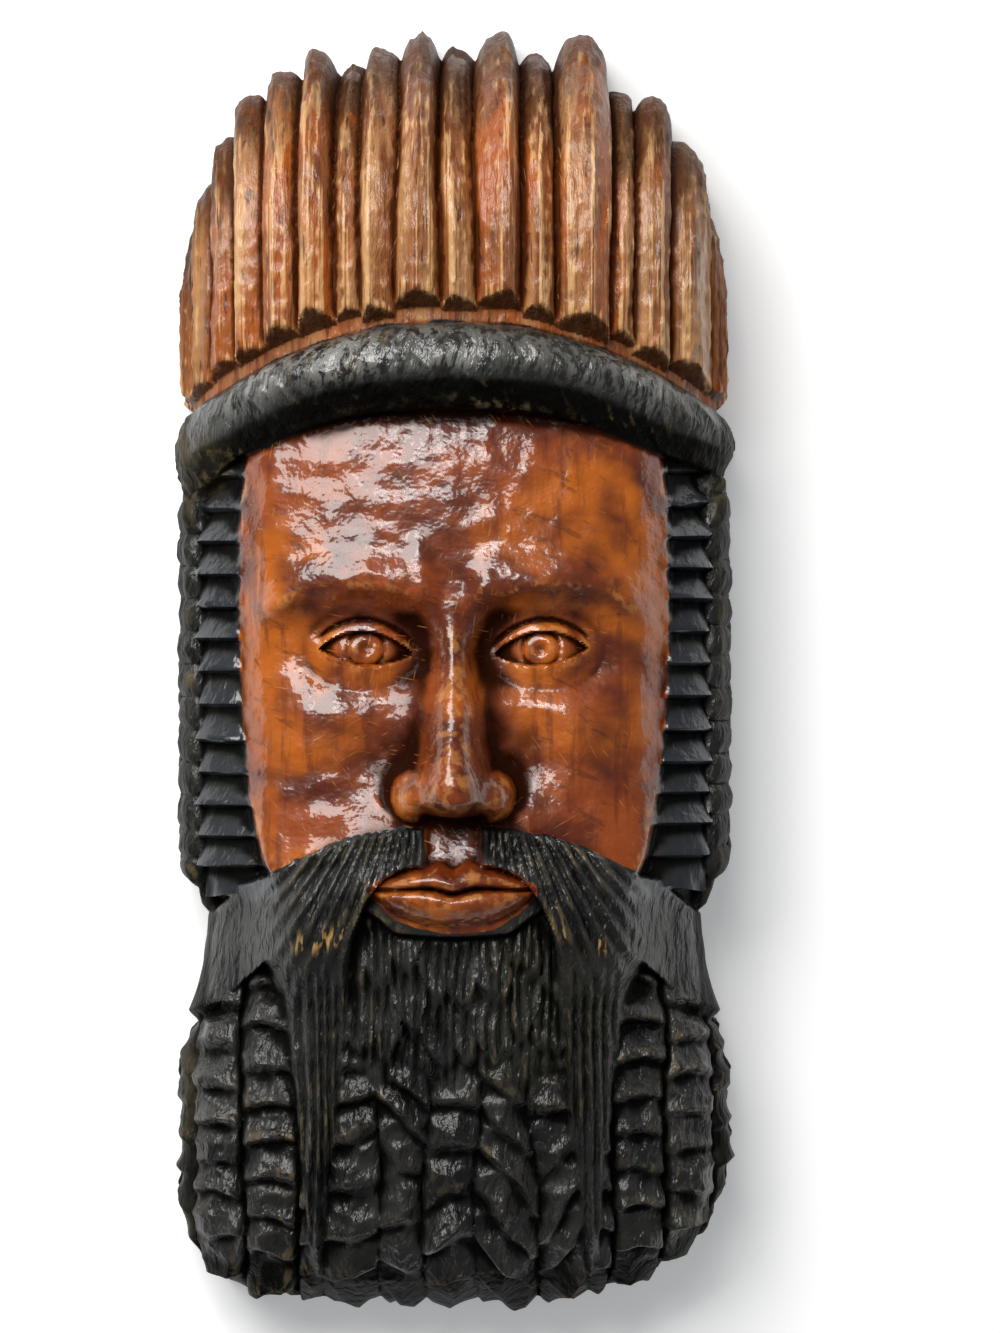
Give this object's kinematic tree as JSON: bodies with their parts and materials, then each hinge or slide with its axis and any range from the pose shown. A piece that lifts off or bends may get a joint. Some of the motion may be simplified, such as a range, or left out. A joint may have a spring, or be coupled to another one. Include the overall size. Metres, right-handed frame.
{
  "type": "carved folk art mask",
  "caption": "Wooden wall mask carved from a half log: a bearded man's head in a cap of upright reeds with a rolled brim, flat and scooped at the back.",
  "frame": {"origin": "middle of the mask's outline on its flat back, which it lies on", "axes": "+Z out of the face, +Y towards the top of the cap, +X to the viewer's right; the mask lies on its back"},
  "size_m": [0.1968, 0.4521, 0.1145],
  "materials": {
    "carved_wood": "varnished, orange brown on the face, brown on the cap and black on the hair, beard and brim"
  },
  "bodies": {
    "root": {"carved_mask": "carved_wood"}
  },
  "joints": []
}
